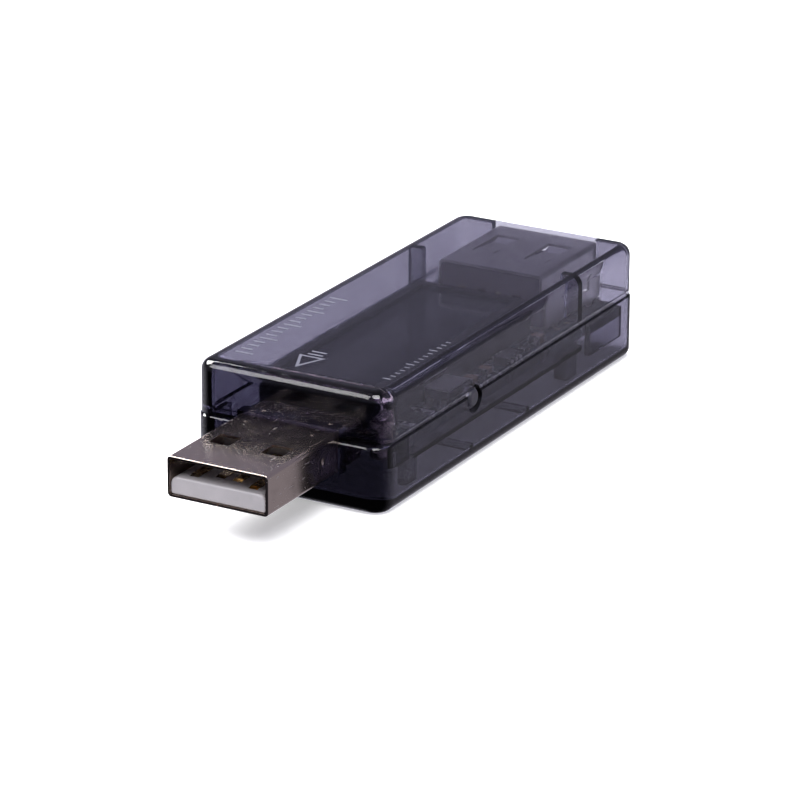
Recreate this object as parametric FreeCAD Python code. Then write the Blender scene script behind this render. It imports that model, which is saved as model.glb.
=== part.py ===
"""USB power meter: an in-line voltage and current meter with a plug, a socket and a display.

Frame, in millimetres: +X to the right, +Y from the plug towards the socket, +Z up through the
display. The origin is under the middle of the whole length, on the underside.
"""
import FreeCAD
import Part
import math
import os

Vector = FreeCAD.Vector
ACROSS = Vector(1, 0, 0)
ALONG_Y = Vector(0, 1, 0)
UPRIGHT = Vector(0, 0, 1)
ORIGIN = Vector(0, 0, 0)

# ---- driving dimensions -------------------------------------------------------------------
TOTAL_LENGTH = 73.0      # plug tip to socket face
WIDTH = 23.0
HEIGHT = 13.5
PLUG_EXPOSED = 14.0      # plug length in front of the housing

# housing
WALL = 1.0
FRONT_WALL = 2.8         # thicker: it holds the plug
ROOF = 0.95
PARTING_Z = 7.5          # height of the joint between the two halves
UPPER_INSET = 0.12       # the upper half sits this far inside the lower half's outline
CORNER_RADIUS = 2.1
ROOF_EDGE_RADIUS = 1.25
FLOOR_EDGE_RADIUS = 1.2
CAVITY_CORNER_RADIUS = 1.0
CAVITY_EDGE_RADIUS = 0.5
LIP_HEIGHT = 0.4
LIP_THICKNESS = 0.4
LIP_CLEARANCE = 0.05
SEAM_CHAMFER = 0.12
PAD_THICKNESS = 0.7      # moulded pads and ribs that stiffen the walls and the floor
PILLAR_SIZE = (1.6, 2.4)
PILLAR_X = 8.7
RIB_SIZE = (1.8, 1.0)    # upright ribs of the upper half
OPENING_GAP = 0.15       # room on each side of the plug and the socket

# sheet-metal plug and socket
SHEET = 0.3
PLUG_WIDTH = 12.0
PLUG_HEIGHT = 4.5
PLUG_CORNER_RADIUS = 0.45
WINDOW_SIZE = (2.5, 2.7)
WINDOW_OFFSET = 3.15     # from the middle of the plug
WINDOW_SETBACK = 5.4     # from the plug's tip
DIMPLE_BALL = 0.75       # radius of the ball that leaves a dimple
DIMPLE_DEPTH = 0.16
DENT_BALL = 0.9
DENT_DEPTH = 0.05
TONGUE_SIDE_RADIUS = 0.85
SEAM_KEY_SIZE = (1.5, 1.2)   # closes the seam under the plug over a short stretch
PLUG_BOTTOM_Z = 3.95
PLUG_INSIDE = 6.2        # plug shell length behind the housing's front face
PLUG_CAVITY_DEPTH = 10.7
TONGUE_TOP_Z = 6.22
CONTACT_OFFSETS = (-3.5, -1.0, 1.0, 3.5)
CONTACT_WIDTH = 1.1
CONTACT_THICKNESS = 0.2
INSULATOR_FIT = 0.03     # gap between an insulator and its shell
WIDE_DRAW = 100          # larger than the object, for boxes that pick edges
SOCKET_OPENING_WIDTH = 12.5
SOCKET_OPENING_HEIGHT = 5.12
SOCKET_LENGTH = 14.0
SOCKET_TONGUE_WIDTH = 11.1
SOCKET_TONGUE_THICKNESS = 1.84
SOCKET_TONGUE_RECESS = 2.9

# circuit board
BOARD_TOP_Z = 6.1
BOARD_THICKNESS = 1.2
BOARD_WIDTH = 18.4
LEDGE_X = 9.0            # inner edge of the ledges that carry the board

# display
DISPLAY_X = (-8.6, 5.4)
DISPLAY_LENGTH = 34.4
DISPLAY_SETBACK = 9.5    # from the housing's front face
DISPLAY_TOP_Z = 9.3
BEZEL_RIM = 0.9
BEZEL_LIP = 0.35
GLASS_THICKNESS = 1.45

# side button and its switch
BUTTON_Y = -2.5
BUTTON_Z = 7.0
BUTTON_RADIUS = 1.0
BUTTON_CLEARANCE = 0.06
FLANGE_RADIUS = 1.25
FLANGE_THICKNESS = 0.5
STEM_LENGTH = 1.4
SWITCH_DEPTH = 3.0
SWITCH_WIDTH = 4.6

# parts on the board: (x, y, (size along X, along Y), side), with 1 for the top
MICROCONTROLLER = (0.6, -1.5, (3.9, 10.0), -1)
MEMORY_CHIP = (1.0, 11.5, (3.9, 5.0), -1)
AMPLIFIER_CHIP = (7.35, 11.5, (1.6, 2.9), 1)
REGULATOR = (5.4, 16.6, (2.5, 4.5), -1)
SHUNT = (7.5, -10.2, (2.6, 5.4), 1)
CAPACITOR_SIZE = (1.25, 2.0)
CAPACITORS = [(-4.8, -5.9, -1), (-4.8, -3.2, -1), (6.2, 5.4, -1), (6.2, 8.2, -1), (7.3, 3.2, 1),
              (7.3, 6.6, 1), (7.3, 18.9, 1)]
RESISTOR_SIZE = (0.85, 1.6)
RESISTORS = [(-4.6, 0.6, -1), (-4.6, 3.0, -1), (-4.6, 5.4, -1), (6.2, -6.8, -1), (6.2, -4.4, -1),
             (6.2, -2.0, -1), (7.3, 15.6, 1), (8.6, 3.4, 1), (8.6, 6.4, 1)]
DIODE = (-5.6, -9.9)
DIODE_SIZE = (2.6, 4.2)
DIODE_HEIGHT = 2.0
TERMINAL_THICKNESS = 0.1
CRYSTAL = (-4.8, 12.0)
CRYSTAL_SIZE = (3.6, 9.0)
CRYSTAL_HEIGHT = 2.6
CRYSTAL_FLANGE = 0.4     # how far the can's flange stands out
CHIP_STANDOFF = 0.12
CHIP_HEIGHT = 1.35
END_COATING = 0.03       # how much thicker a chip part is at its plated ends

# ---- places worked out from them ----------------------------------------------------------
TIP_Y = -TOTAL_LENGTH / 2
REAR_Y = TOTAL_LENGTH / 2
FRONT_Y = TIP_Y + PLUG_EXPOSED
HALF_WIDTH = WIDTH / 2
CAVITY_X = HALF_WIDTH - WALL
CAVITY_FRONT_Y = FRONT_Y + FRONT_WALL
CAVITY_REAR_Y = REAR_Y - WALL
CEILING_Z = HEIGHT - ROOF
BOARD_BOTTOM_Z = BOARD_TOP_Z - BOARD_THICKNESS
BOARD_FRONT_Y = FRONT_Y + PLUG_INSIDE + 0.3
BOARD_REAR_Y = CAVITY_REAR_Y - 0.2
PLUG_REAR_Y = FRONT_Y + PLUG_INSIDE
PLUG_TOP_Z = PLUG_BOTTOM_Z + PLUG_HEIGHT
SOCKET_MOUTH_Y = REAR_Y - 0.1
SOCKET_REAR_Y = SOCKET_MOUTH_Y - SOCKET_LENGTH
SOCKET_BOTTOM_Z = BOARD_TOP_Z + 0.05
SOCKET_OUTER_WIDTH = SOCKET_OPENING_WIDTH + 2 * SHEET
SOCKET_OUTER_HEIGHT = SOCKET_OPENING_HEIGHT + 2 * SHEET
SOCKET_TOP_Z = SOCKET_BOTTOM_Z + SOCKET_OUTER_HEIGHT
SOCKET_CEILING_Z = SOCKET_TOP_Z - SHEET
SOCKET_FLOOR_Z = SOCKET_BOTTOM_Z + SHEET
SOCKET_TONGUE_TOP_Z = SOCKET_CEILING_Z - 0.66
SOCKET_TONGUE_BOTTOM_Z = SOCKET_TONGUE_TOP_Z - SOCKET_TONGUE_THICKNESS
SOCKET_WALL_Y = SOCKET_REAR_Y + 2.5
SOCKET_LEG_YS = (SOCKET_REAR_Y + 2.6, SOCKET_REAR_Y + 11.0)
SOCKET_TONGUE_FRONT_Y = SOCKET_MOUTH_Y - SOCKET_TONGUE_RECESS
DISPLAY_Y = (FRONT_Y + DISPLAY_SETBACK, FRONT_Y + DISPLAY_SETBACK + DISPLAY_LENGTH)
BEZEL_BOTTOM_Z = BOARD_TOP_Z + 0.1
GLASS_TOP_Z = DISPLAY_TOP_Z - BEZEL_LIP
GLASS_BOTTOM_Z = GLASS_TOP_Z - GLASS_THICKNESS
PIN_X = DISPLAY_X[0] + BEZEL_RIM / 2
PIN_END_Z = BOARD_BOTTOM_Z - 0.9
FLANGE_X = (CAVITY_X - FLANGE_THICKNESS - 0.03, CAVITY_X - 0.03)
BUTTON_END_X = HALF_WIDTH - 0.02
SWITCH_FACE_X = FLANGE_X[0] - STEM_LENGTH + 0.6
SWITCH_TOP_Z = BUTTON_Z + 1.0
SEAM_KEY_YS = (TIP_Y + 4.0, TIP_Y + 12.0)
SIDE_DIMPLE_YS = (TIP_Y + 10.9, TIP_Y + 17.4)
TOP_DIMPLE_Y = FRONT_Y + 4.8
TOP_DENT = (4.0, FRONT_Y - 1.75)


# ---- shared helpers -----------------------------------------------------------------------
def block(x, y, z):
    """A box from three (low, high) pairs."""
    return Part.makeBox(x[1] - x[0], y[1] - y[0], z[1] - z[0], Vector(x[0], y[0], z[0]))


def centred(width, y, z, x=0.0):
    """A box of a given width, centred on x."""
    return block((x - width / 2, x + width / 2), y, z)


def around(x, y, size, z):
    """A box of size (along X, along Y), centred on a point of the plan."""
    return block((x - size[0] / 2, x + size[0] / 2), (y - size[1] / 2, y + size[1] / 2), z)


def straight_edges(shape, axis):
    """The straight edges that run along one of the axes."""
    found = []
    for edge in shape.Edges:
        ends = [vertex.Point for vertex in edge.Vertexes]
        if len(ends) == 2 and isinstance(edge.Curve, Part.Line):
            run = (ends[1] - ends[0]).normalize()
            if abs(abs(run.dot(axis)) - 1) < 1e-6:
                found.append(edge)
    return found


def edges_at(shape, low, high):
    """The edges whose box lies inside the box from low to high."""
    room = FreeCAD.BoundBox(low[0], low[1], low[2], high[0], high[1], high[2])
    room.enlarge(1e-4)
    return [edge for edge in shape.Edges if room.isInside(edge.BoundBox)]


def edges_at_height(shape, z):
    return edges_at(shape, (-WIDE_DRAW, -WIDE_DRAW, z), (WIDE_DRAW, WIDE_DRAW, z))


def edges_at_station(shape, y):
    return edges_at(shape, (-WIDE_DRAW, y, -WIDE_DRAW), (WIDE_DRAW, y, WIDE_DRAW))


def rounded_along(shape, radius, axis):
    return shape.makeFillet(radius, straight_edges(shape, axis))


def tube_along_y(width, height, y, bottom_z, outer_radius):
    """A folded sheet-metal tube of rectangular section with rounded long edges."""
    outer = centred(width, y, (bottom_z, bottom_z + height))
    outer = rounded_along(outer, outer_radius, ALONG_Y)
    outer = outer.makeFillet(SHEET / 3, edges_at_station(outer, y[0]))
    long_y = (y[0] - 1, y[1] + 1)
    inner = centred(width - 2 * SHEET, long_y, (bottom_z + SHEET, bottom_z + height - SHEET))
    inner = rounded_along(inner, outer_radius - SHEET, ALONG_Y)
    return outer.cut(inner)


def bead(x, y, z, radius, height, upward=True):
    """A drop of solder on a flat face: the cap of a sphere."""
    ball_radius = (radius ** 2 + height ** 2) / (2 * height)
    sign = 1 if upward else -1
    ball = Part.makeSphere(ball_radius, Vector(x, y, z + sign * (height - ball_radius)))
    span = (z, z + height + 1) if upward else (z - height - 1, z)
    return ball.common(around(x, y, (4 * radius, 4 * radius), span))


def strip_along_path(points, thickness, x, width):
    """A bent strip: a path in the YZ plane given a thickness below it, extruded along X."""
    normals = []
    for (y0, z0), (y1, z1) in zip(points, points[1:]):
        length = math.hypot(y1 - y0, z1 - z0)
        normals.append(((z1 - z0) / length, -(y1 - y0) / length))
    lower = []
    for index, (y, z) in enumerate(points):
        before = normals[max(index - 1, 0)]
        after = normals[min(index, len(normals) - 1)]
        scale = thickness / (1 + before[0] * after[0] + before[1] * after[1])
        lower.append((y + (before[0] + after[0]) * scale, z + (before[1] + after[1]) * scale))
    outline = [Vector(x - width / 2, y, z) for y, z in points + lower[::-1]]
    face = Part.Face(Part.makePolygon(outline + outline[:1]))
    return face.extrude(Vector(width, 0, 0))


def clear_of(shape, tools):
    for tool in tools:
        shape = shape.cut(tool)
    return shape


# ---- housing ------------------------------------------------------------------------------
def housing_block(inset, z):
    """The housing's outline, moved inwards by inset, with rounded upright edges."""
    box = block((inset - HALF_WIDTH, HALF_WIDTH - inset), (FRONT_Y + inset, REAR_Y - inset), z)
    return rounded_along(box, CORNER_RADIUS - inset / 2, UPRIGHT)


def cavity():
    """The room inside both halves."""
    room = block((-CAVITY_X, CAVITY_X), (CAVITY_FRONT_Y, CAVITY_REAR_Y), (WALL, CEILING_Z))
    room = rounded_along(room, CAVITY_CORNER_RADIUS, UPRIGHT)
    rims = edges_at_height(room, WALL) + edges_at_height(room, CEILING_Z)
    return room.makeFillet(CAVITY_EDGE_RADIUS, rims)


def lip_ring(clearance):
    """The raised lip of the lower half, thickened by clearance where the upper half takes it."""
    outer_x = CAVITY_X + LIP_THICKNESS + clearance
    outer_y = (CAVITY_FRONT_Y - LIP_THICKNESS - clearance, CAVITY_REAR_Y + LIP_THICKNESS + clearance)
    height = (PARTING_Z - 0.5, PARTING_Z + LIP_HEIGHT + clearance)
    outer = rounded_along(block((-outer_x, outer_x), outer_y, height),
                          CAVITY_CORNER_RADIUS + LIP_THICKNESS + clearance, UPRIGHT)
    inner = block((-CAVITY_X, CAVITY_X), (CAVITY_FRONT_Y, CAVITY_REAR_Y), (0, HEIGHT))
    return outer.cut(rounded_along(inner, CAVITY_CORNER_RADIUS, UPRIGHT))


def plug_opening():
    """The slot in the front wall that the plug comes out of."""
    return centred(PLUG_WIDTH + 2 * OPENING_GAP, (FRONT_Y - 1, CAVITY_FRONT_Y + 0.01),
                   (PLUG_BOTTOM_Z - OPENING_GAP, PLUG_TOP_Z + 0.4))


def socket_opening():
    return centred(SOCKET_OUTER_WIDTH + 2 * OPENING_GAP, (CAVITY_REAR_Y - CAVITY_EDGE_RADIUS, REAR_Y + 1),
                   (SOCKET_BOTTOM_Z - OPENING_GAP, CEILING_Z))


def button_hole():
    """The round hole for the side button, with a shallow dish around it outside."""
    through = Part.makeCylinder(BUTTON_RADIUS + BUTTON_CLEARANCE, 3,
                                Vector(CAVITY_X - 0.5, BUTTON_Y, BUTTON_Z), ACROSS)
    dish = Part.makeCone(1.2, 2.0, 0.8, Vector(HALF_WIDTH - 0.4, BUTTON_Y, BUTTON_Z), ACROSS)
    return through.fuse(dish)


def wall_pads(y, z, depth):
    """A pair of moulded pads on the two side walls."""
    right = block((CAVITY_X - depth, CAVITY_X + 0.2), y, z)
    left = block((-CAVITY_X - 0.2, -CAVITY_X + depth), y, z)
    return [right, left]


def lower_shell():
    outside = housing_block(0.0, (0, PARTING_Z))
    outside = outside.makeFillet(FLOOR_EDGE_RADIUS, edges_at_height(outside, 0))
    outside = outside.makeChamfer(SEAM_CHAMFER, edges_at_height(outside, PARTING_Z))
    shell = outside.cut(cavity())
    shell = shell.fuse(lip_ring(0.0).common(block((-50, 50), (-50, 50), (PARTING_Z - 0.5, HEIGHT))))
    additions = wall_pads((CAVITY_FRONT_Y, FRONT_Y + 6.2), (4.6, PARTING_Z - 0.1), PAD_THICKNESS)
    additions += wall_pads((REAR_Y - 11.0, REAR_Y - 3.2), (3.0, PARTING_Z - 0.9), PAD_THICKNESS)
    additions += wall_pads((FRONT_Y + 7.2, REAR_Y - 13.0), (BOARD_BOTTOM_Z - 0.6, BOARD_BOTTOM_Z),
                           CAVITY_X - LEDGE_X)
    for y in (FRONT_Y + 8.5, REAR_Y - 13.5):
        for side in (-1, 1):
            additions.append(around(side * PILLAR_X, y, PILLAR_SIZE, (WALL - 0.2, BOARD_BOTTOM_Z)))
    for y in (FRONT_Y + 20.0, FRONT_Y + 33.0):
        additions.append(centred(2 * CAVITY_X + 0.4, (y - 0.4, y + 0.4), (WALL - 0.2, WALL + PAD_THICKNESS)))
    shell = shell.fuse(additions)
    shell = clear_of(shell, [plug_opening(), socket_opening(), button_hole()])
    return shell.removeSplitter()


def upper_shell():
    outside = housing_block(UPPER_INSET, (PARTING_Z, HEIGHT))
    outside = outside.makeFillet(ROOF_EDGE_RADIUS, edges_at_height(outside, HEIGHT))
    outside = outside.makeChamfer(SEAM_CHAMFER, edges_at_height(outside, PARTING_Z))
    shell = outside.cut(cavity()).cut(lip_ring(LIP_CLEARANCE))
    rib_z = (PARTING_Z + LIP_HEIGHT + 0.1, CEILING_Z + 0.2)
    shell = shell.fuse([around(side * (CAVITY_X - 0.8), REAR_Y - 13.5, RIB_SIZE, rib_z) for side in (-1, 1)])
    shell = clear_of(shell, [plug_opening(), socket_opening(), button_hole()])
    return shell.removeSplitter()


# ---- plug ---------------------------------------------------------------------------------
def plug_legs():
    """The two plates behind the plug shell whose pins go down through the board."""
    legs = []
    for side in (-1, 1):
        x = side * (PLUG_WIDTH - SHEET) / 2
        plate_y = (PLUG_REAR_Y - 0.5, PLUG_REAR_Y + 2.6)
        plate = centred(SHEET, plate_y, (BOARD_TOP_Z + 0.1, PLUG_TOP_Z - 1.4), x)
        pin = centred(SHEET, (PLUG_REAR_Y + 1.4, PLUG_REAR_Y + 2.6), (PIN_END_Z, PLUG_TOP_Z - 1.4), x)
        legs += [plate, pin]
    return legs


def plug_shell():
    shell = tube_along_y(PLUG_WIDTH, PLUG_HEIGHT, (TIP_Y, PLUG_REAR_Y), PLUG_BOTTOM_Z, PLUG_CORNER_RADIUS)
    for x in (-WINDOW_OFFSET, WINDOW_OFFSET):
        window_y = (TIP_Y + WINDOW_SETBACK, TIP_Y + WINDOW_SETBACK + WINDOW_SIZE[1])
        window = centred(WINDOW_SIZE[0], window_y, (PLUG_BOTTOM_Z - 1, PLUG_TOP_Z + 1), x)
        shell = shell.cut(rounded_along(window, 0.15, UPRIGHT))
    seam = centred(0.1, (TIP_Y - 1, PLUG_REAR_Y + 1), (PLUG_BOTTOM_Z - 1, PLUG_BOTTOM_Z + SHEET + 0.01))
    shell = shell.cut(seam)
    for y in SEAM_KEY_YS:
        shell = shell.fuse(around(0, y, SEAM_KEY_SIZE, (PLUG_BOTTOM_Z, PLUG_BOTTOM_Z + SHEET)))
    shell = shell.fuse(plug_legs())
    return clear_of(shell, plug_dimples()).removeSplitter()


def plug_dimples():
    """Punched dimples that lock the insulator: on both sides and on top, where two are shallow."""
    balls = []
    side_reach = PLUG_WIDTH / 2 + DIMPLE_BALL - DIMPLE_DEPTH
    for side in (-1, 1):
        for y in SIDE_DIMPLE_YS:
            balls.append(Part.makeSphere(DIMPLE_BALL, Vector(side * side_reach, y, PLUG_BOTTOM_Z + 2.4)))
        place = Vector(side * TOP_DENT[0], TOP_DENT[1], PLUG_TOP_Z + DENT_BALL - DENT_DEPTH)
        balls.append(Part.makeSphere(DENT_BALL, place))
    place = Vector(0, TOP_DIMPLE_Y, PLUG_TOP_Z + DIMPLE_BALL - DIMPLE_DEPTH)
    balls.append(Part.makeSphere(DIMPLE_BALL, place))
    return balls


def contact_strips():
    """Four flat contacts: the outer two start nearer the tip, and all end on the board."""
    strips = []
    for x in CONTACT_OFFSETS:
        start = TIP_Y + (1.3 if abs(x) > 2 else 2.3)
        z = BOARD_TOP_Z + CONTACT_THICKNESS
        path = [(start, z - 0.16), (start + 0.5, z), (PLUG_REAR_Y + 2.7, z)]
        strips.append(strip_along_path(path, CONTACT_THICKNESS, x, CONTACT_WIDTH))
    return strips


def plug_insulator():
    """The tongue that carries the contacts, and the block behind it that closes the shell."""
    width = PLUG_WIDTH - 2 * SHEET - 2 * INSULATOR_FIT
    bottom = PLUG_BOTTOM_Z + SHEET + INSULATOR_FIT
    cavity_end = TIP_Y + PLUG_CAVITY_DEPTH
    tongue = centred(width, (TIP_Y + 0.12, cavity_end + 0.5), (bottom, TONGUE_TOP_Z))
    upper_sides = [edge for edge in straight_edges(tongue, ALONG_Y) if edge.BoundBox.ZMin > bottom + 0.1]
    tongue = tongue.makeFillet(TONGUE_SIDE_RADIUS, upper_sides)
    tongue = rounded_along(tongue, 0.3, ALONG_Y)
    tongue = tongue.makeFillet(0.25, edges_at_station(tongue, TIP_Y + 0.12))
    rear = centred(width, (cavity_end, PLUG_REAR_Y + 0.25), (bottom, PLUG_TOP_Z - SHEET - INSULATOR_FIT))
    rear = rounded_along(rear, 0.3, ALONG_Y)
    body = tongue.fuse(rear)
    grooves = []
    for x in CONTACT_OFFSETS:
        start = TIP_Y + (1.15 if abs(x) > 2 else 2.15)
        grooves.append(centred(CONTACT_WIDTH, (start, cavity_end + 1), (BOARD_TOP_Z - 0.17, 7), x))
    for strip in contact_strips():
        body = body.cut(strip)
    relief = [groove.common(centred(20, (-50, cavity_end), (-50, 50))) for groove in grooves]
    return clear_of(body, relief).removeSplitter()


# ---- socket -------------------------------------------------------------------------------
def spring_leaf(angle, offset, width, reach_from_centre):
    """One retention leaf, bent inwards: made for the top wall, then turned about the Y axis."""
    root = SOCKET_REAR_Y + 4.2
    path = [(root, reach_from_centre), (root + 0.9, reach_from_centre),
            (root + 5.0, reach_from_centre - 0.42), (root + 6.2, reach_from_centre - 0.12)]
    leaf = strip_along_path(path, SHEET * 0.8, offset, width)
    leaf.rotate(ORIGIN, ALONG_Y, angle)
    leaf.translate(Vector(0, 0, (SOCKET_TOP_Z + SOCKET_BOTTOM_Z) / 2))
    return leaf


def leaf_window(angle, offset, width, reach_from_centre):
    """The hole in the shell's wall that a leaf is cut from."""
    root = SOCKET_REAR_Y + 4.5
    window = centred(width + 0.5, (root, root + 6.3), (reach_from_centre - 1, reach_from_centre + 1), offset)
    window.rotate(ORIGIN, ALONG_Y, angle)
    window.translate(Vector(0, 0, (SOCKET_TOP_Z + SOCKET_BOTTOM_Z) / 2))
    return window


def socket_leaves():
    """(angle about Y, place across the wall, width, distance of the wall from the middle)."""
    half_height = SOCKET_OUTER_HEIGHT / 2
    half_width = SOCKET_OUTER_WIDTH / 2
    return [(0, -3.3, 2.4, half_height), (0, 3.3, 2.4, half_height),
            (180, -3.3, 2.4, half_height), (180, 3.3, 2.4, half_height),
            (90, 0.0, 1.8, half_width), (-90, 0.0, 1.8, half_width)]


def socket_legs():
    legs = []
    for side in (-1, 1):
        x = side * (SOCKET_OUTER_WIDTH - SHEET) / 2
        for y in SOCKET_LEG_YS:
            legs.append(around(x, y, (SHEET, 1.2), (PIN_END_Z, SOCKET_BOTTOM_Z + 1.2)))
    return legs


def socket_shell():
    mouth_first = tube_along_y(SOCKET_OUTER_WIDTH, SOCKET_OUTER_HEIGHT,
                               (-SOCKET_MOUTH_Y, -SOCKET_REAR_Y), SOCKET_BOTTOM_Z, 0.6)
    shell = mouth_first.mirror(ORIGIN, ALONG_Y)
    leaves = socket_leaves()
    shell = clear_of(shell, [leaf_window(*leaf) for leaf in leaves])
    shell = shell.fuse([spring_leaf(*leaf) for leaf in leaves] + socket_legs())
    return shell.removeSplitter()


def socket_contact_strips():
    """Four spring contacts under the tongue, led down the back into the board."""
    strips = []
    base = SOCKET_TONGUE_BOTTOM_Z
    back = SOCKET_REAR_Y - 0.25
    for x in CONTACT_OFFSETS:
        path = [(SOCKET_TONGUE_FRONT_Y - 0.7, base + 0.12), (SOCKET_TONGUE_FRONT_Y - 2.0, base - 0.42),
                (SOCKET_TONGUE_FRONT_Y - 3.6, base), (back, base), (back, PIN_END_Z)]
        strips.append(strip_along_path(path, -CONTACT_THICKNESS, x, 1.0 if abs(x) > 2 else 0.9))
    return strips


def socket_insulator():
    """The back wall of the socket and the tongue that stands out of it."""
    width = SOCKET_OPENING_WIDTH - 2 * INSULATOR_FIT
    wall_z = (SOCKET_FLOOR_Z + INSULATOR_FIT, SOCKET_CEILING_Z - INSULATOR_FIT)
    wall = centred(width, (SOCKET_REAR_Y + 0.05, SOCKET_WALL_Y), wall_z)
    wall = rounded_along(wall, 0.35, ALONG_Y)
    tongue = centred(SOCKET_TONGUE_WIDTH, (SOCKET_WALL_Y - 0.5, SOCKET_TONGUE_FRONT_Y),
                     (SOCKET_TONGUE_BOTTOM_Z, SOCKET_TONGUE_TOP_Z))
    tongue = tongue.makeFillet(0.3, edges_at_station(tongue, SOCKET_TONGUE_FRONT_Y))
    body = wall.fuse(tongue)
    for x in CONTACT_OFFSETS:
        groove = centred(1.15, (SOCKET_WALL_Y, SOCKET_TONGUE_FRONT_Y - 0.4),
                         (SOCKET_TONGUE_BOTTOM_Z - 1, SOCKET_TONGUE_BOTTOM_Z + 0.42), x)
        body = body.cut(groove)
    return clear_of(body, socket_contact_strips()).removeSplitter()


# ---- circuit board ------------------------------------------------------------------------
def display_pin_ys():
    return [DISPLAY_Y[0] + 5.0 + 2.0 * step for step in range(10)]


def display_pins():
    """A row of square pins from the display's frame down through the board."""
    return [around(PIN_X, y, (0.5, 0.5), (PIN_END_Z, BEZEL_BOTTOM_Z)) for y in display_pin_ys()]


def circuit_board():
    board = centred(BOARD_WIDTH, (BOARD_FRONT_Y, BOARD_REAR_Y), (BOARD_BOTTOM_Z, BOARD_TOP_Z))
    board = rounded_along(board, 0.6, UPRIGHT)
    span = (BOARD_BOTTOM_Z - 1, BOARD_TOP_Z + 1)
    holes = []
    for y in display_pin_ys():
        holes.append(Part.makeCylinder(0.45, 4, Vector(PIN_X, y, BOARD_BOTTOM_Z - 1)))
    for x in CONTACT_OFFSETS:
        holes.append(Part.makeCylinder(0.62, 4, Vector(x, SOCKET_REAR_Y - 0.35, BOARD_BOTTOM_Z - 1)))
    for side in (-1, 1):
        for y in SOCKET_LEG_YS:
            slot = around(side * (SOCKET_OUTER_WIDTH - SHEET) / 2, y, (0.8, 1.8), span)
            holes.append(rounded_along(slot, 0.35, UPRIGHT))
        slot = around(side * (PLUG_WIDTH - SHEET) / 2, PLUG_REAR_Y + 2.0, (0.8, 1.8), span)
        holes.append(rounded_along(slot, 0.35, UPRIGHT))
    return clear_of(board, holes)


def solder_joints():
    """Solder on every pin under the board, and on the plug's four tails above it."""
    beads = []
    pins = display_pins() + socket_contact_strips() + socket_legs() + plug_legs()
    for y in display_pin_ys():
        beads.append(bead(PIN_X, y, BOARD_BOTTOM_Z, 0.8, 0.7, upward=False))
    for x in CONTACT_OFFSETS:
        beads.append(bead(x, SOCKET_REAR_Y - 0.35, BOARD_BOTTOM_Z, 0.95, 0.7, upward=False))
    for side in (-1, 1):
        for y in SOCKET_LEG_YS:
            x = side * (SOCKET_OUTER_WIDTH - SHEET) / 2
            beads.append(bead(x, y, BOARD_BOTTOM_Z, 1.2, 0.7, upward=False))
        x = side * (PLUG_WIDTH - SHEET) / 2
        beads.append(bead(x, PLUG_REAR_Y + 2.0, BOARD_BOTTOM_Z, 1.2, 0.7, upward=False))
    beads = [clear_of(drop, pins) for drop in beads]
    tails = contact_strips()
    for x in CONTACT_OFFSETS:
        drop = bead(x, PLUG_REAR_Y + 1.9, BOARD_TOP_Z, 1.1, 0.5)
        beads.append(clear_of(drop, tails))
    return beads


# ---- display ------------------------------------------------------------------------------
def display_room(gap, z):
    """The display's plan, moved inwards by gap."""
    return block((DISPLAY_X[0] + gap, DISPLAY_X[1] - gap), (DISPLAY_Y[0] + gap, DISPLAY_Y[1] - gap), z)


def display_bezel():
    """The black frame round the display, with a lip that overlaps the glass."""
    frame = display_room(0.0, (BEZEL_BOTTOM_Z, DISPLAY_TOP_Z))
    frame = rounded_along(frame, 0.5, UPRIGHT)
    frame = frame.makeChamfer(0.15, edges_at_height(frame, DISPLAY_TOP_Z))
    return clear_of(frame, [display_room(BEZEL_RIM - 0.05, (0, GLASS_TOP_Z)),
                            display_room(BEZEL_RIM + 0.3, (0, HEIGHT))])


def display_glass():
    glass = display_room(BEZEL_RIM, (GLASS_BOTTOM_Z, GLASS_TOP_Z))
    return rounded_along(glass, 0.15, UPRIGHT)


def backlight_guide():
    return display_room(BEZEL_RIM + 0.1, (BEZEL_BOTTOM_Z, GLASS_BOTTOM_Z))


# ---- side button --------------------------------------------------------------------------
def button_cap():
    """A round nub with a flange behind the wall that keeps it in."""
    centre = Vector(FLANGE_X[0], BUTTON_Y, BUTTON_Z)
    flange = Part.makeCylinder(FLANGE_RADIUS, FLANGE_THICKNESS, centre, ACROSS)
    nub = Part.makeCylinder(BUTTON_RADIUS, BUTTON_END_X - FLANGE_X[0], centre, ACROSS)
    end = edges_at(nub, (BUTTON_END_X, -WIDE_DRAW, -WIDE_DRAW), (BUTTON_END_X, WIDE_DRAW, WIDE_DRAW))
    nub = nub.makeFillet(0.35, end)
    return flange.fuse(nub).removeSplitter()


def switch_stem():
    """The plunger between the cap and the switch's contacts."""
    span_y = (BUTTON_Y - 0.7, BUTTON_Y + 0.7)
    return block((FLANGE_X[0] - STEM_LENGTH, FLANGE_X[0]), span_y, (BUTTON_Z - 0.5, BUTTON_Z + 0.5))


def switch_body():
    body = block((SWITCH_FACE_X - SWITCH_DEPTH, SWITCH_FACE_X),
                 (BUTTON_Y - SWITCH_WIDTH / 2, BUTTON_Y + SWITCH_WIDTH / 2), (BOARD_TOP_Z, SWITCH_TOP_Z))
    slot = block((SWITCH_FACE_X - 1.0, SWITCH_FACE_X + 1), (BUTTON_Y - 0.75, BUTTON_Y + 0.75),
                 (BUTTON_Z - 0.55, BUTTON_Z + 0.55))
    return body.cut(slot)


def switch_cover():
    """The metal cover folded over the top and back of the switch."""
    y = (BUTTON_Y - SWITCH_WIDTH / 2, BUTTON_Y + SWITCH_WIDTH / 2)
    x = (SWITCH_FACE_X - SWITCH_DEPTH - 0.15, SWITCH_FACE_X - 0.2)
    top = block(x, y, (SWITCH_TOP_Z, SWITCH_TOP_Z + 0.15))
    back = block((x[0], x[0] + 0.15), y, (BOARD_TOP_Z + 0.3, SWITCH_TOP_Z + 0.05))
    return top.fuse(back).removeSplitter()


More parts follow.
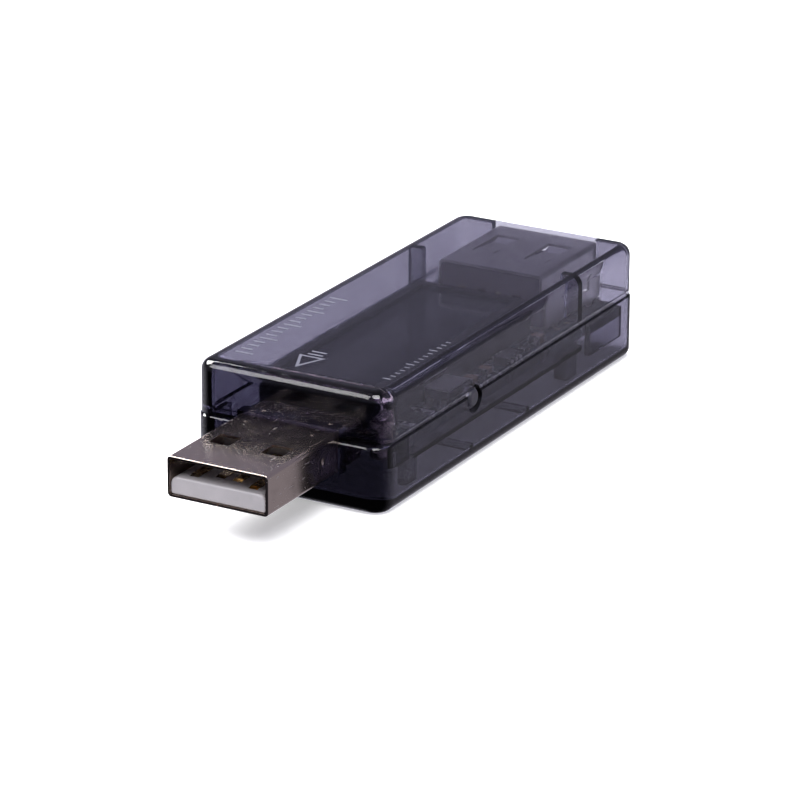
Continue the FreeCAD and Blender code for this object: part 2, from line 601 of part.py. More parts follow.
def switch_terminals():
    """Four feet bent out of the switch's two ends onto the board."""
    feet = []
    for side in (-1, 1):
        end = BUTTON_Y + side * SWITCH_WIDTH / 2
        path = [(end, BOARD_TOP_Z + 0.9), (end + side * 0.25, BOARD_TOP_Z + 0.9),
                (end + side * 0.25, BOARD_TOP_Z + 0.18), (end + side * 1.0, BOARD_TOP_Z + 0.18)]
        for x in (SWITCH_FACE_X - 0.7, SWITCH_FACE_X - 2.4):
            feet.append(strip_along_path(path, side * 0.16, x, 0.7))
    return feet


# ---- components on the board --------------------------------------------------------------
def chip_body(x, y, size, side, height=CHIP_HEIGHT):
    """A moulded chip body on the top (side 1) or the underside (side -1) of the board."""
    if side > 0:
        z = (BOARD_TOP_Z + CHIP_STANDOFF, BOARD_TOP_Z + CHIP_STANDOFF + height)
    else:
        z = (BOARD_BOTTOM_Z - CHIP_STANDOFF - height, BOARD_BOTTOM_Z - CHIP_STANDOFF)
    body = around(x, y, size, z)
    outer = z[1] if side > 0 else z[0]
    return body.makeChamfer(0.15, edges_at_height(body, outer))


def chip_leads(x, y, size, side, rows, pitch):
    """Gull-wing leads along the two long sides (those that face +X and -X)."""
    leads = []
    face = BOARD_TOP_Z if side > 0 else BOARD_BOTTOM_Z
    for direction in (-1, 1):
        edge = direction * size[0] / 2
        outline = [(edge, 0.55), (edge + direction * 0.35, 0.55), (edge + direction * 0.45, 0.0),
                   (edge + direction * 0.95, 0.0), (edge + direction * 0.95, 0.18),
                   (edge + direction * 0.58, 0.18), (edge + direction * 0.48, 0.73), (edge, 0.73)]
        for row in range(rows):
            lead_y = y + (row - (rows - 1) / 2) * pitch
            points = [Vector(x + across, lead_y - 0.2, face + side * up) for across, up in outline]
            face_shape = Part.Face(Part.makePolygon(points + points[:1]))
            leads.append(face_shape.extrude(Vector(0, 0.4, 0)))
    return leads


def chip_part(x, y, size, side, height):
    """A two-ended chip part: its ceramic body and its two plated ends."""
    if side > 0:
        z = (BOARD_TOP_Z, BOARD_TOP_Z + height)
    else:
        z = (BOARD_BOTTOM_Z - height, BOARD_BOTTOM_Z)
    cap = size[1] * 0.2
    body = around(x, y, (size[0], size[1] - 2 * cap), z)
    grown = (z[0] - (END_COATING if side < 0 else 0), z[1] + (END_COATING if side > 0 else 0))
    ends = [around(x, y + sign * (size[1] - cap) / 2, (size[0], cap), grown) for sign in (-1, 1)]
    return body, ends


def shunt_resistor():
    """The current-sensing resistor: a dark chip with wide plated ends, beside the display."""
    return chip_part(*SHUNT, height=0.65)


def passives(places, size, height):
    bodies = []
    ends = []
    for x, y, side in places:
        body, caps = chip_part(x, y, size, side, height)
        bodies.append(body)
        ends += caps
    return bodies, ends


def protection_diode():
    """A moulded diode under the board, standing on its terminals."""
    low = BOARD_BOTTOM_Z - TERMINAL_THICKNESS - DIODE_HEIGHT
    body = around(*DIODE, DIODE_SIZE, (low, BOARD_BOTTOM_Z - TERMINAL_THICKNESS))
    return body.makeChamfer(0.25, edges_at_height(body, low))


def diode_terminals():
    x, y = DIODE
    height = (BOARD_BOTTOM_Z - TERMINAL_THICKNESS, BOARD_BOTTOM_Z)
    return [around(x, y + sign * (DIODE_SIZE[1] / 2 + 0.2), (1.5, 0.9), height) for sign in (-1, 1)]


def crystal_can():
    """A flat oval metal can under the board."""
    low = BOARD_BOTTOM_Z - CRYSTAL_HEIGHT
    flange_bottom = BOARD_BOTTOM_Z - 0.35
    flange_size = (CRYSTAL_SIZE[0] + 2 * CRYSTAL_FLANGE, CRYSTAL_SIZE[1] + 2 * CRYSTAL_FLANGE)
    can = rounded_along(around(*CRYSTAL, CRYSTAL_SIZE, (low, flange_bottom)), 1.7, UPRIGHT)
    flange = rounded_along(around(*CRYSTAL, flange_size, (flange_bottom, BOARD_BOTTOM_Z)), 2.1, UPRIGHT)
    can = can.makeFillet(0.3, edges_at_height(can, low))
    return can.fuse(flange).removeSplitter()


# ---- writing the nodes --------------------------------------------------------------------
def nodes():
    """Every sub-part by name: one solid or a list of like solids."""
    shunt_body, shunt_ends = shunt_resistor()
    capacitor_bodies, capacitor_ends = passives(CAPACITORS, CAPACITOR_SIZE, 0.9)
    resistor_bodies, resistor_ends = passives(RESISTORS, RESISTOR_SIZE, 0.45)
    return {
        "upper_shell": upper_shell(),
        "lower_shell": lower_shell(),
        "circuit_board": circuit_board(),
        "plug_shell": plug_shell(),
        "plug_insulator": plug_insulator(),
        "plug_contacts": contact_strips(),
        "socket_shell": socket_shell(),
        "socket_insulator": socket_insulator(),
        "socket_contacts": socket_contact_strips(),
        "display_bezel": display_bezel(),
        "display_glass": display_glass(),
        "backlight_guide": backlight_guide(),
        "display_pins": display_pins(),
        "button_cap": button_cap(),
        "switch_stem": switch_stem(),
        "switch_body": switch_body(),
        "switch_cover": switch_cover(),
        "switch_terminals": switch_terminals(),
        "shunt_resistor": shunt_body,
        "shunt_terminals": shunt_ends,
        "microcontroller": chip_body(*MICROCONTROLLER),
        "microcontroller_leads": chip_leads(*MICROCONTROLLER, rows=7, pitch=1.27),
        "memory_chip": chip_body(*MEMORY_CHIP),
        "memory_chip_leads": chip_leads(*MEMORY_CHIP, rows=4, pitch=1.27),
        "amplifier_chip": chip_body(*AMPLIFIER_CHIP, height=1.0),
        "amplifier_leads": chip_leads(*AMPLIFIER_CHIP, rows=3, pitch=0.95),
        "voltage_regulator": chip_body(*REGULATOR, height=1.4),
        "regulator_leads": chip_leads(*REGULATOR, rows=3, pitch=1.5),
        "protection_diode": protection_diode(),
        "diode_terminals": diode_terminals(),
        "capacitors": capacitor_bodies,
        "capacitor_terminals": capacitor_ends,
        "resistors": resistor_bodies,
        "resistor_terminals": resistor_ends,
        "crystal_can": crystal_can(),
        "solder_joints": solder_joints(),
    }


os.makedirs("parts", exist_ok=True)
for name, shape in nodes().items():
    if isinstance(shape, list):
        shape = Part.makeCompound(shape)
    shape.exportStep("parts/" + name + ".step")
    box = shape.BoundBox
    print(name, "solids", len(shape.Solids), "valid", shape.isValid(), "volume", round(shape.Volume, 3),
          "x", round(box.XMin, 2), round(box.XMax, 2), "y", round(box.YMin, 2), round(box.YMax, 2),
          "z", round(box.ZMin, 2), round(box.ZMax, 2))
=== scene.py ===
# %% [markdown]
# # An in-line USB power meter
# The object is a flat case of smoke-grey plastic with a metal plug at one end and a socket at the
# other. The hard part of the look is that the case is clear: what is inside it shows, bent by the
# walls. So the case gets real refraction and real absorption, and everything inside it gets a
# finish of its own. This file goes from the frame to the camera, the lights, the finishes and the
# printed marks.

# %% Load the frame
import math

import bpy
import numpy as np
from mathutils import Matrix, Vector


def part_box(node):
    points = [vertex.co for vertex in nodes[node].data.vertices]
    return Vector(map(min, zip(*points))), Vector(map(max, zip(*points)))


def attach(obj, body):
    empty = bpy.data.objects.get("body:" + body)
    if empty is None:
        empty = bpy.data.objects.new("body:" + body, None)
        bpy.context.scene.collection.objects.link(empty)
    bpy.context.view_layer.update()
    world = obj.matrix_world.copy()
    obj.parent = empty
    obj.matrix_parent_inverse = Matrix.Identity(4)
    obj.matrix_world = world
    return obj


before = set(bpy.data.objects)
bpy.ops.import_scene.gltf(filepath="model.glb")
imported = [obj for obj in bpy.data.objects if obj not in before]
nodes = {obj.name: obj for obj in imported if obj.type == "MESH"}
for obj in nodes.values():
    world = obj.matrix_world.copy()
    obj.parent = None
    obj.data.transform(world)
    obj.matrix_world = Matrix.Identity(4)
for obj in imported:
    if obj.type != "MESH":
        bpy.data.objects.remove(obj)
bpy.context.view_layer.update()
MM = 0.001


def span(node):
    """A node's lowest and highest corner in millimetres, as two arrays."""
    low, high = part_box(node)
    return np.array(low) / MM, np.array(high) / MM


case_low = span("lower_shell")[0]
roof_high = span("upper_shell")[1]
print("case from", case_low.round(2), "to", roof_high.round(2))

# %% [markdown]
# ## The camera
# A long lens looks down at the plug end from the front right. A long lens keeps the box's edges
# almost parallel, so it stands far away: nearly half a metre for an object of seven centimetres.
# The camera is placed by an azimuth and an elevation around a point inside the case, and rolled by
# a fraction of a degree.

# %% Camera
CAMERA_TARGET = Vector((4.32, -6.04, 6.6)) * MM
CAMERA_AZIMUTH = math.radians(29.02)
CAMERA_ELEVATION = math.radians(20.29)
CAMERA_ROLL = math.radians(0.29)
CAMERA_DISTANCE = 470 * MM
CAMERA_LENS = 197.9


def place_camera():
    """Looks at the target from an azimuth, counted from the plug's side towards +X, and an elevation."""
    back = Vector((math.sin(CAMERA_AZIMUTH) * math.cos(CAMERA_ELEVATION),
                   -math.cos(CAMERA_AZIMUTH) * math.cos(CAMERA_ELEVATION),
                   math.sin(CAMERA_ELEVATION)))
    data = bpy.data.cameras.new("camera")
    data.lens = CAMERA_LENS
    data.clip_start = 0.01
    camera = bpy.data.objects.new("camera", data)
    bpy.context.scene.collection.objects.link(camera)
    turn = (-back).to_track_quat("-Z", "Y").to_matrix().to_4x4()
    camera.matrix_world = (Matrix.Translation(CAMERA_TARGET + back * CAMERA_DISTANCE) @ turn
                           @ Matrix.Rotation(CAMERA_ROLL, 4, "Z"))
    bpy.context.scene.camera = camera
    return camera


camera = place_camera()
print("camera at", tuple(round(c, 3) for c in camera.location))

# %% [markdown]
# ## Shader expressions
# A finish is mostly arithmetic on masks: how worn, how dirty, how far from an edge. Written as
# nodes by hand that is unreadable, so a socket is wrapped in a small class whose operators add the
# Math nodes. Everything that isn't arithmetic comes from one method, `node`.

# %% Sockets with operators
class Signal:
    """One number that varies over a surface: a shader socket with arithmetic."""

    def __init__(self, finish, socket):
        self.finish = finish
        self.socket = socket

    def __add__(self, other):
        return self.finish.math("ADD", self, other)

    def __radd__(self, other):
        return self.finish.math("ADD", other, self)

    def __sub__(self, other):
        return self.finish.math("SUBTRACT", self, other)

    def __rsub__(self, other):
        return self.finish.math("SUBTRACT", other, self)

    def __mul__(self, other):
        return self.finish.math("MULTIPLY", self, other)

    def __rmul__(self, other):
        return self.finish.math("MULTIPLY", other, self)

    def __truediv__(self, other):
        return self.finish.math("DIVIDE", self, other)

    def __gt__(self, other):
        return self.finish.math("GREATER_THAN", self, other)

    def __lt__(self, other):
        return self.finish.math("LESS_THAN", self, other)

    def to(self, operation, other=0.0):
        """Any other Math operation, such as ABSOLUTE or PINGPONG."""
        return self.finish.math(operation, self, other)


class Finish:
    """A material being mixed. Object coordinates are in metres, so scales are per metre."""

    def __init__(self, name):
        self.material = bpy.data.materials.new(name)
        self.material.use_nodes = True
        self.tree = self.material.node_tree
        self.tree.nodes.clear()
        self.here = self.node("ShaderNodeTexCoord", out="Object")

    def node(self, kind, settings=None, sockets=None, out=0):
        """Adds one node: its settings first, then the values or links of its sockets."""
        made = self.tree.nodes.new(kind)
        for key, value in (settings or {}).items():
            setattr(made, key, value)
        for key, value in (sockets or {}).items():
            if isinstance(value, Signal):
                self.tree.links.new(value.socket, made.inputs[key])
            else:
                made.inputs[key].default_value = value
        return Signal(self, made.outputs[out])

    def math(self, operation, first, second):
        return self.node("ShaderNodeMath", {"operation": operation}, {0: first, 1: second})

    def noise(self, scale, detail=4.0, roughness=0.55, stretch=None):
        """Noise from 0 to 1 with a given number of bumps per metre, stretched along an axis."""
        where = self.here
        if stretch is not None:
            where = self.node("ShaderNodeMapping", None, {"Vector": where, "Scale": stretch})
        return self.node("ShaderNodeTexNoise", None,
                         {"Vector": where, "Scale": scale, "Detail": detail, "Roughness": roughness})

    def step(self, signal, low, high):
        """0 below low, 1 above high and smooth between."""
        return self.node("ShaderNodeMapRange", {"interpolation_type": "SMOOTHSTEP"},
                         {"Value": signal, "From Min": low, "From Max": high})

    def axes(self):
        """The object coordinates across and along the case, in millimetres."""
        split = self.tree.nodes.new("ShaderNodeSeparateXYZ")
        self.tree.links.new(self.here.socket, split.inputs[0])
        return [Signal(self, socket) / MM for socket in split.outputs[:2]]

    def mix(self, share, first, second):
        """A colour between two colours; either may be a plain triple."""
        colours = [value if isinstance(value, Signal) else (*value, 1.0) for value in (first, second)]
        return self.node("ShaderNodeMix", {"data_type": "RGBA"},
                         {0: share, 6: colours[0], 7: colours[1]}, out=2)

    def bump(self, height, distance, strength=1.0):
        return self.node("ShaderNodeBump", None,
                         {"Height": height, "Distance": distance, "Strength": strength})

    def surface(self, colour, **sockets):
        """A Principled shader. Sockets are given by name with underscores for spaces."""
        values = {key.replace("_", " "): value for key, value in sockets.items()}
        values["Base Color"] = colour if isinstance(colour, Signal) else (*colour, 1.0)
        return self.node("ShaderNodeBsdfPrincipled", None, values)

    def done(self, shader, volume=None):
        ending = {"Surface": shader}
        if volume is not None:
            ending["Volume"] = volume
        made = self.tree.nodes.new("ShaderNodeOutputMaterial")
        for key, value in ending.items():
            self.tree.links.new(value.socket, made.inputs[key])
        return self.material


def paint(material, *names):
    """Gives a material to whole CAD nodes or pieces."""
    for name in names:
        thing = nodes.get(name) or bpy.data.objects[name]
        thing.data.materials.clear()
        thing.data.materials.append(material)
    print(material.name, "->", ", ".join(names))


# %% [markdown]
# ## Smoke plastic
# The case is clear plastic with a little grey dye. Dye works by distance: a thin wall looks pale
# and an edge, where light runs along the plastic, looks nearly black. So the colour is a volume
# absorption, and the surface only bends and mirrors. Glass normally stops the rays that look for
# lamps, which would leave the inside black and noisy, so those rays get a plain tinted
# transparency instead. Moulding leaves the polish a little uneven and handling leaves fine marks.

# %% Smoke plastic
DYE_PER_METRE = 910.0
DYE_COLOUR = (0.015, 0.0, 0.15, 1.0)


def smoke_plastic():
    finish = Finish("smoke_plastic")
    smears = finish.step(finish.noise(90.0, 3.0), 0.42, 0.72)
    fine = finish.noise(2600.0, 2.0, stretch=(1.0, 0.12, 1.0))
    scuffs = finish.step(fine, 0.66, 0.74) * finish.step(finish.noise(160.0, 2.0), 0.5, 0.62)
    polish = 0.035 + smears * 0.04 + scuffs * 0.12
    ripple = finish.noise(240.0, 1.0) + scuffs * 0.15
    clear = finish.surface((0.94, 0.93, 0.96), Roughness=polish, Transmission_Weight=1.0, IOR=1.5,
                           Normal=finish.bump(ripple, 0.03 * MM, 0.35))
    for_lamps = finish.node("ShaderNodeBsdfTransparent", None, {"Color": (0.84, 0.83, 0.87, 1.0)})
    is_shadow = finish.node("ShaderNodeLightPath", out="Is Shadow Ray")
    shader = finish.node("ShaderNodeMixShader", None, {0: is_shadow, 1: clear, 2: for_lamps})
    dye = finish.node("ShaderNodeVolumeAbsorption", None, {"Color": DYE_COLOUR, "Density": DYE_PER_METRE})
    return finish.done(shader, dye)


paint(smoke_plastic(), "upper_shell", "lower_shell")

# %% [markdown]
# ## Nickel-plated sheet
# The plug's shell is stamped sheet with a thin nickel plating. Nickel is warm and a little brown,
# rolling leaves very fine lines along the sheet, and every insertion scratches it lengthways and
# leaves bright specks. Roughness and colour vary with the same masks, so a scratch is both paler
# and rougher: it catches the lamps where the smooth sheet around it mirrors something dark.

# %% Sheet metal
def sheet_metal(name, colour, worn_colour, roughness, wear):
    finish = Finish(name)
    grain = finish.noise(5200.0, 2.0, stretch=(1.0, 0.03, 1.0))
    cloud = finish.noise(260.0, 4.0)
    stain = finish.step(finish.noise(520.0, 5.0, 0.65), 0.5, 0.75)
    marks = finish.step(finish.noise(2400.0, 3.0, stretch=(1.0, 0.16, 1.0)), 0.68, 0.71)
    specks = finish.step(finish.noise(3600.0, 1.0), 0.74, 0.77)
    bright = (marks + specks).to("MINIMUM", 1.0) * wear
    tone = finish.mix(stain * 0.5, colour, tuple(channel * 0.62 for channel in colour))
    tone = finish.mix(bright, tone, worn_colour)
    rough = roughness + cloud * 0.08 + grain * 0.05 + stain * 0.08 + bright * 0.25
    height = grain * 0.2 - marks * 0.3 * wear + specks * 0.5 * wear
    return finish.done(finish.surface(tone, Metallic=1.0, Roughness=rough,
                                      Normal=finish.bump(height, 0.012 * MM, 0.6)))


paint(sheet_metal("nickel_sheet", (0.66, 0.56, 0.49), (0.92, 0.87, 0.82), 0.10, 0.8), "plug_shell")
paint(sheet_metal("tinned_sheet", (0.80, 0.79, 0.77), (0.92, 0.91, 0.90), 0.36, 0.4), "socket_shell")
paint(sheet_metal("tinned_parts", (0.50, 0.49, 0.48), (0.7, 0.7, 0.7), 0.26, 0.3),
      "display_pins", "switch_cover", "switch_terminals", "microcontroller_leads", "memory_chip_leads",
      "amplifier_leads", "regulator_leads", "diode_terminals", "crystal_can")

# %% [markdown]
# ## Gold and solder
# Contacts have a flash of gold over nickel that thins where the other contact rubs. The gold's colour
# is painted darker than bare gold, as painted shade for the hollows the contacts sit in. Solder is
# bright and almost liquid in shape, with a frosted patch where it cooled last.

# %% Gold and solder
def gold_flash_painted_shade():
    finish = Finish("gold_flash_painted_shade")
    worn = finish.step(finish.noise(700.0, 4.0), 0.5, 0.7)
    # The gold colour is painted darker than bare gold, as painted shade inside the plug and the socket; the
    # paler colour is the nickel where the gold has worn through.
    tone = finish.mix(worn * 0.6, (0.42, 0.33, 0.18), (0.50, 0.46, 0.40))
    return finish.done(finish.surface(tone, Metallic=1.0, Roughness=0.16 + worn * 0.16))


def reflowed_solder():
    finish = Finish("reflowed_solder")
    frost = finish.step(finish.noise(1400.0, 4.0), 0.45, 0.65)
    tone = finish.mix(frost, (0.74, 0.74, 0.75), (0.58, 0.58, 0.60))
    return finish.done(finish.surface(tone, Metallic=1.0, Roughness=0.14 + frost * 0.3,
                                      Normal=finish.bump(frost, 0.02 * MM, 0.5)))


paint(gold_flash_painted_shade(), "plug_contacts", "socket_contacts")
paint(reflowed_solder(), "solder_joints", "shunt_terminals", "capacitor_terminals", "resistor_terminals")

# %% [markdown]
# ## Moulded plastics
# The connector bodies are pale glass-filled nylon, the display's frame and the switch are black. Both
# are matte from a fine spark-eroded mould texture. Chips, chip parts and the light guide are made the
# same way with other colours, so one function serves them all: two shades in soft patches, with
# darker dirt in places and pits that are too small to see singly.

# %% Moulded plastics
def moulded(name, colour, shade, roughness, texture):
    finish = Finish(name)
    mottled = finish.noise(420.0, 4.0)
    pits = finish.noise(9000.0, 2.0)
    dirt = finish.step(finish.noise(900.0, 5.0, 0.6), 0.56, 0.8)
    tone = finish.mix(finish.step(mottled, 0.3, 0.7) * 0.5 + dirt * 0.4, colour, shade)
    return finish.done(finish.surface(tone, Roughness=roughness + pits * 0.12 + dirt * 0.1,
                                      Normal=finish.bump(pits, texture * MM, 0.5)))


paint(moulded("pale_nylon", (0.235, 0.222, 0.235), (0.195, 0.186, 0.197), 0.32, 0.02), "plug_insulator",
      "socket_insulator")
paint(moulded("black_moulding", (0.016, 0.016, 0.019), (0.028, 0.027, 0.031), 0.42, 0.03), "display_bezel",
      "switch_body", "switch_stem")
paint(moulded("chip_epoxy", (0.022, 0.022, 0.024), (0.045, 0.044, 0.046), 0.5, 0.04), "microcontroller",
      "memory_chip", "amplifier_chip", "voltage_regulator", "protection_diode")
paint(moulded("glazed_resistor", (0.012, 0.012, 0.014), (0.03, 0.03, 0.032), 0.22, 0.01), "resistors",
      "shunt_resistor")
paint(moulded("fired_ceramic", (0.17, 0.12, 0.08), (0.13, 0.09, 0.06), 0.4, 0.02), "capacitors")
paint(moulded("milky_guide", (0.34, 0.36, 0.38), (0.30, 0.32, 0.34), 0.35, 0.01), "backlight_guide")
paint(moulded("button_plastic", (0.035, 0.034, 0.045), (0.028, 0.027, 0.037), 0.24, 0.01), "button_cap")

# %% [markdown]
# ## The circuit board
# Under the dark solder mask the copper shows as slightly raised, slightly lighter areas: wide pours
# for the main current and thin tracks between the parts. Both are drawn from the board's own
# coordinates: tracks are thin lines at a regular pitch, cut up by a coarse cell pattern so that
# they start and stop, and vias are small round dots on the same grid.

# %% Circuit board
TRACK_PITCH = 0.8
TRACK_HALF_WIDTH = 0.14
VIA_GRID = 2.4
VIA_RADIUS = 0.34


def solder_mask():
    finish = Finish("solder_mask")
    x, y = finish.axes()
    lines = (x / TRACK_PITCH).to("PINGPONG", 0.5) < TRACK_HALF_WIDTH / TRACK_PITCH
    crossing = (y / TRACK_PITCH).to("PINGPONG", 0.5) < TRACK_HALF_WIDTH / TRACK_PITCH
    blocks = finish.node("ShaderNodeTexVoronoi", {"distance": "CHEBYCHEV"},
                         {"Vector": finish.here, "Scale": 210.0}, out="Color")
    choice = finish.node("ShaderNodeSeparateColor", None, {0: blocks})
    tracks = lines * (choice > 0.45) + crossing * (choice < 0.3)
    pour = finish.step(finish.noise(130.0, 1.0), 0.55, 0.56)
    copper = (tracks + pour).to("MINIMUM", 1.0)
    across = (x / VIA_GRID).to("PINGPONG", 0.5) * VIA_GRID
    along = (y / VIA_GRID).to("PINGPONG", 0.5) * VIA_GRID
    reach = (across * across + along * along).to("SQRT")
    vias = (reach < VIA_RADIUS) * (choice > 0.6)
    tone = finish.mix(copper, (0.008, 0.012, 0.016), (0.02, 0.032, 0.036))
    tone = finish.mix(vias, tone, (0.30, 0.26, 0.20))
    return finish.done(finish.surface(tone, Roughness=0.3 - copper * 0.06,
                                      Coat_Weight=0.4, Coat_Roughness=0.15,
                                      Normal=finish.bump(copper, 0.035 * MM, 0.7)))


paint(solder_mask(), "circuit_board")

# %% [markdown]
# ## The display
# Switched off, the display is a dark sheet of glass with a clear coat, and shows nothing.

# %% Display glass
def dark_glass():
    finish = Finish("dark_glass")
    cloud = finish.noise(180.0, 3.0)
    tone = finish.mix(finish.step(cloud, 0.3, 0.7), (0.020, 0.021, 0.026), (0.030, 0.031, 0.036))
    return finish.done(finish.surface(tone, Roughness=0.08 + cloud * 0.08, Coat_Weight=1.0,
                                      Coat_Roughness=0.04))


paint(dark_glass(), "display_glass")

# %% [markdown]
# ## Printed marks
# The roof carries pale pad-printed marks. They are flat ribbons: a narrow rectangular section
# carried along a path with mitred corners. The section is worked out for all points of the path at
# once.

# %% Ribbons
def ribbon_mesh(name, paths, width, bottom, thickness):
    """Closed solid strips in the XY plane, in millimetres.

    Each path is a list of plan points. At every point the strip's edge lies half a width along the
    mitre, the sum of the two neighbouring runs' normals, divided by one plus their dot product. The
    four rows of vertices are left and right at the bottom and at the top.
    """
    corners = []
    faces = []
    count = 0
    for path in paths:
        points = np.array(path, dtype=float)
        closed = np.allclose(points[0], points[-1])
        if closed:
            points = points[:-1]
        runs = np.roll(points, -1, axis=0) - points
        if not closed:
            runs[-1] = runs[-2]
        normals = np.stack([-runs[:, 1], runs[:, 0]], 1) / np.linalg.norm(runs, axis=1)[:, None]
        before = np.roll(normals, 1, axis=0)
        if not closed:
            before[0] = normals[0]
        mitre = (before + normals) / (1 + (before * normals).sum(1))[:, None] * width / 2
        flat = np.concatenate([points - mitre, points + mitre, points - mitre, points + mitre])
        size = len(points)
        height = np.repeat([bottom, bottom, bottom + thickness, bottom + thickness], size)
        corners.append(np.column_stack([flat, height]))
        here = np.arange(size if closed else size - 1)
        there = (here + 1) % size
        low_right, low_left, top_right, top_left = (row * size for row in range(4))
        bands = ((top_right, top_left), (low_left, low_right), (low_right, top_right), (top_left, low_left))
        for a, b in bands:
            faces.append(np.column_stack([here + a, there + a, there + b, here + b]) + count)
        if not closed:
            last = size - 1
            faces.append(np.array([[low_right, top_right, top_left, low_left]]) + count)
            faces.append(np.array([[low_left, top_left, top_right, low_right]]) + last + count)
        count += 4 * size
    mesh = bpy.data.meshes.new(name)
    mesh.from_pydata((np.concatenate(corners) * MM).tolist(), [], np.concatenate(faces).tolist())
    mesh.update()
    return mesh


def printed(name, paths, width):
    """Prints strips on the roof, as one piece that rides with the case."""
    mesh = ribbon_mesh(name, paths, width, ROOF_TOP, INK_THICKNESS)
    made = bpy.data.objects.new(name, mesh)
    bpy.context.scene.collection.objects.link(made)
    mesh.materials.append(ink)
    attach(made, "housing")
    print(name, "faces:", len(mesh.polygons))


def pale_ink():
    finish = Finish("pale_ink")
    thin = finish.step(finish.noise(2600.0, 3.0), 0.35, 0.6)
    tone = finish.mix(thin, (0.075, 0.075, 0.105), (0.115, 0.115, 0.15))
    return finish.done(finish.surface(tone, Roughness=0.45 + thin * 0.1))


INK_THICKNESS = 0.02
ROOF_TOP = roof_high[2]
FRONT = case_low[1]
ink = pale_ink()

# %% [markdown]
# Next to the plug an outlined arrowhead points the way the current comes in, with two short bars
# behind it. Along the left edge runs a scale of strokes, and a finer one along the right edge.

# %% Direction arrow
ARROW_X = -1.0
ARROW_TIP = FRONT + 3.8
ARROW_LENGTH = 3.1
ARROW_HALF = 1.35
BAR_HALF = 0.9
BAR_GAPS = (0.75, 1.6)


def arrow_paths():
    """A closed triangle and two bars behind its base."""
    base = ARROW_TIP + ARROW_LENGTH
    tip = (ARROW_X, ARROW_TIP)
    head = [tip, (ARROW_X + ARROW_HALF, base), (ARROW_X - ARROW_HALF, base), tip]
    bars = [[(ARROW_X - BAR_HALF, base + gap), (ARROW_X + BAR_HALF, base + gap)] for gap in BAR_GAPS]
    return [head] + bars


printed("ink_arrow", arrow_paths(), 0.32)

# %% Stroke scales
def stroke_scale(x, start, pitch, count, short, long, every):
    """Strokes across the edge: every so many of them is long."""
    return [[(x, start + pitch * k), (x + (long if k % every == 0 else short), start + pitch * k)]
            for k in range(count)]


left_scale = stroke_scale(-8.9, FRONT + 4.5, 1.25, 17, 1.3, 2.1, 4)
right_scale = stroke_scale(9.6, FRONT + 5.0, 1.0, 14, -0.6, -1.0, 5)
printed("ink_left_scale", left_scale, 0.42)
printed("ink_right_scale", right_scale, 0.2)

# %% [markdown]
# ## The set
# A pale floor lies under the object. Two large soft boxes, one from each side, make it white all
# round, so that the light that comes through the case has no shadow behind it. A small one at the
# front left draws the bright line along the roof's front edge. The floor is kept out of mirror
# reflections, because a white floor would turn the dark case grey from below, and it glows a little,
# as the lit table of a product set does.

# %% Floor and lights
FLOOR_HALF = 3.0
FLOOR_GLOW = 0.42


def pale_floor():
    """A square sheet a hair below the case, so that the two faces don't coincide."""
    mesh = bpy.data.meshes.new("floor")
    corners = [(-FLOOR_HALF, -FLOOR_HALF, 0), (FLOOR_HALF, -FLOOR_HALF, 0),
               (FLOOR_HALF, FLOOR_HALF, 0), (-FLOOR_HALF, FLOOR_HALF, 0)]
    mesh.from_pydata(corners, [], [(0, 1, 2, 3)])
    floor = bpy.data.objects.new("floor", mesh)
    floor.location.z = -0.02 * MM
    bpy.context.scene.collection.objects.link(floor)
    finish = Finish("pale_floor")
    paper = finish.surface((0.86, 0.86, 0.87), Roughness=0.9,
                           Emission_Color=(1.0, 1.0, 1.0, 1.0), Emission_Strength=FLOOR_GLOW)
    mesh.materials.append(finish.done(paper))
    floor.visible_glossy = False


def soft_box(name, azimuth, elevation, distance, size, watts):
    """A rectangular lamp that looks at the object from an azimuth and an elevation."""
    a, e = math.radians(azimuth), math.radians(elevation)
    away = Vector((math.sin(a) * math.cos(e), -math.cos(a) * math.cos(e), math.sin(e)))
    data = bpy.data.lights.new(name, "AREA")
    data.shape = "RECTANGLE"
    data.size, data.size_y = size
    data.energy = watts
    lamp = bpy.data.objects.new(name, data)
    lamp.location = away * distance
    lamp.rotation_euler = away.to_track_quat("Z", "Y").to_euler()
    bpy.context.scene.collection.objects.link(lamp)
    print(name, "at", tuple(round(c, 2) for c in lamp.location))


SKY_ABOVE = (0.215, 0.205, 0.27, 1.0)
SKY_BELOW = (0.016, 0.015, 0.02, 1.0)
SKY_BEHIND = (0.28, 0.265, 0.31, 1.0)
GLOW = (0.80, 0.79, 0.90, 1.0)
GLOW_TOWARDS = (-0.85, 0.53, 0.0)
BEHIND = (0.3, 0.95, 0.0)


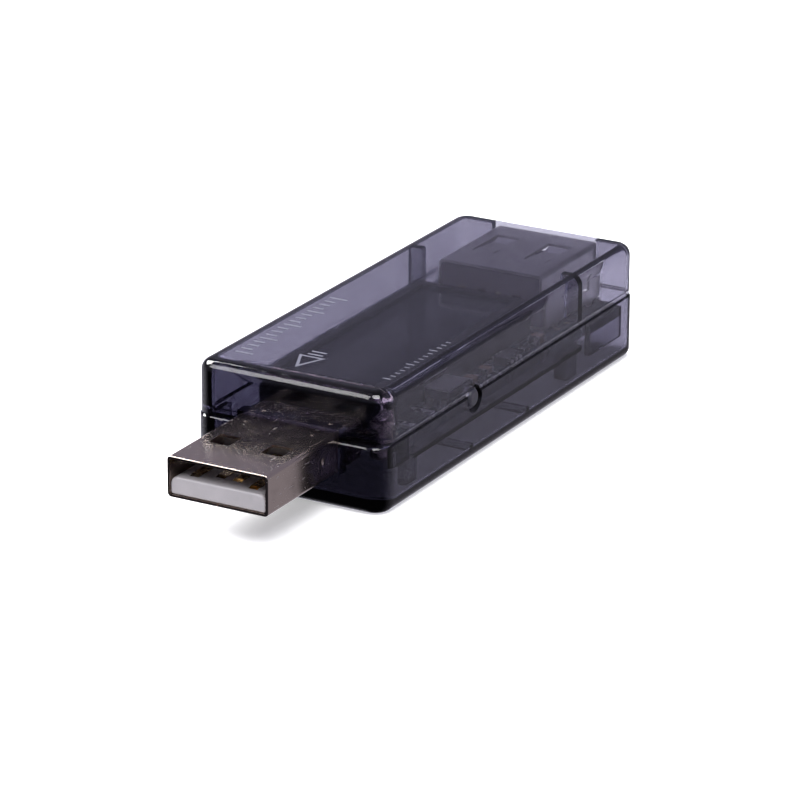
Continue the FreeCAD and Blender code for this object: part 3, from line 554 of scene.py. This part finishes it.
def studio_sky():
    """Dim above and behind, almost black below the front, and a pale glow low on one side."""
    world = bpy.data.worlds.new("studio")
    world.use_nodes = True
    tree = world.node_tree
    tree.nodes.clear()

    def add(kind, settings, sockets):
        made = tree.nodes.new(kind)
        for key, value in settings.items():
            setattr(made, key, value)
        for key, value in sockets.items():
            if isinstance(value, bpy.types.NodeSocket):
                tree.links.new(value, made.inputs[key])
            else:
                made.inputs[key].default_value = value
        return made

    def ramp(value, low, high):
        return add("ShaderNodeMapRange", {"interpolation_type": "SMOOTHSTEP"},
                   {"Value": value, "From Min": low, "From Max": high}).outputs[0]

    def blend(share, first, second):
        return add("ShaderNodeMix", {"data_type": "RGBA"}, {0: share, 6: first, 7: second}).outputs[2]

    def along(axis):
        return add("ShaderNodeVectorMath", {"operation": "DOT_PRODUCT"}, {0: direction, 1: axis}).outputs[1]

    direction = add("ShaderNodeTexCoord", {}, {}).outputs["Generated"]
    height = add("ShaderNodeSeparateXYZ", {}, {0: direction}).outputs[2]
    below = blend(ramp(along(BEHIND), 0.1, 0.9), SKY_BELOW, SKY_BEHIND)
    sky = blend(ramp(height, -0.2, 0.15), below, SKY_ABOVE)
    low = add("ShaderNodeMath", {"operation": "SUBTRACT"}, {0: 1.0, 1: ramp(height, 0.04, 0.3)}).outputs[0]
    reach = add("ShaderNodeMath", {"operation": "MULTIPLY"},
                {0: low, 1: ramp(along(GLOW_TOWARDS), 0.2, 0.8)}).outputs[0]
    sky = blend(reach, sky, GLOW)
    light = add("ShaderNodeBackground", {}, {"Color": sky, "Strength": 1.0})
    made = tree.nodes.new("ShaderNodeOutputWorld")
    tree.links.new(light.outputs[0], made.inputs[0])
    bpy.context.scene.world = world


studio_sky()
bpy.context.scene.view_settings.view_transform = "Standard"
pale_floor()
soft_box("key_right", 38, 62, 2.0, (1.2, 1.2), 42.0)
soft_box("front_left", -35, 44, 0.6, (0.30, 0.31), 1.9)
soft_box("key_left", -100, 42, 2.0, (1.2, 1.0), 80.0)
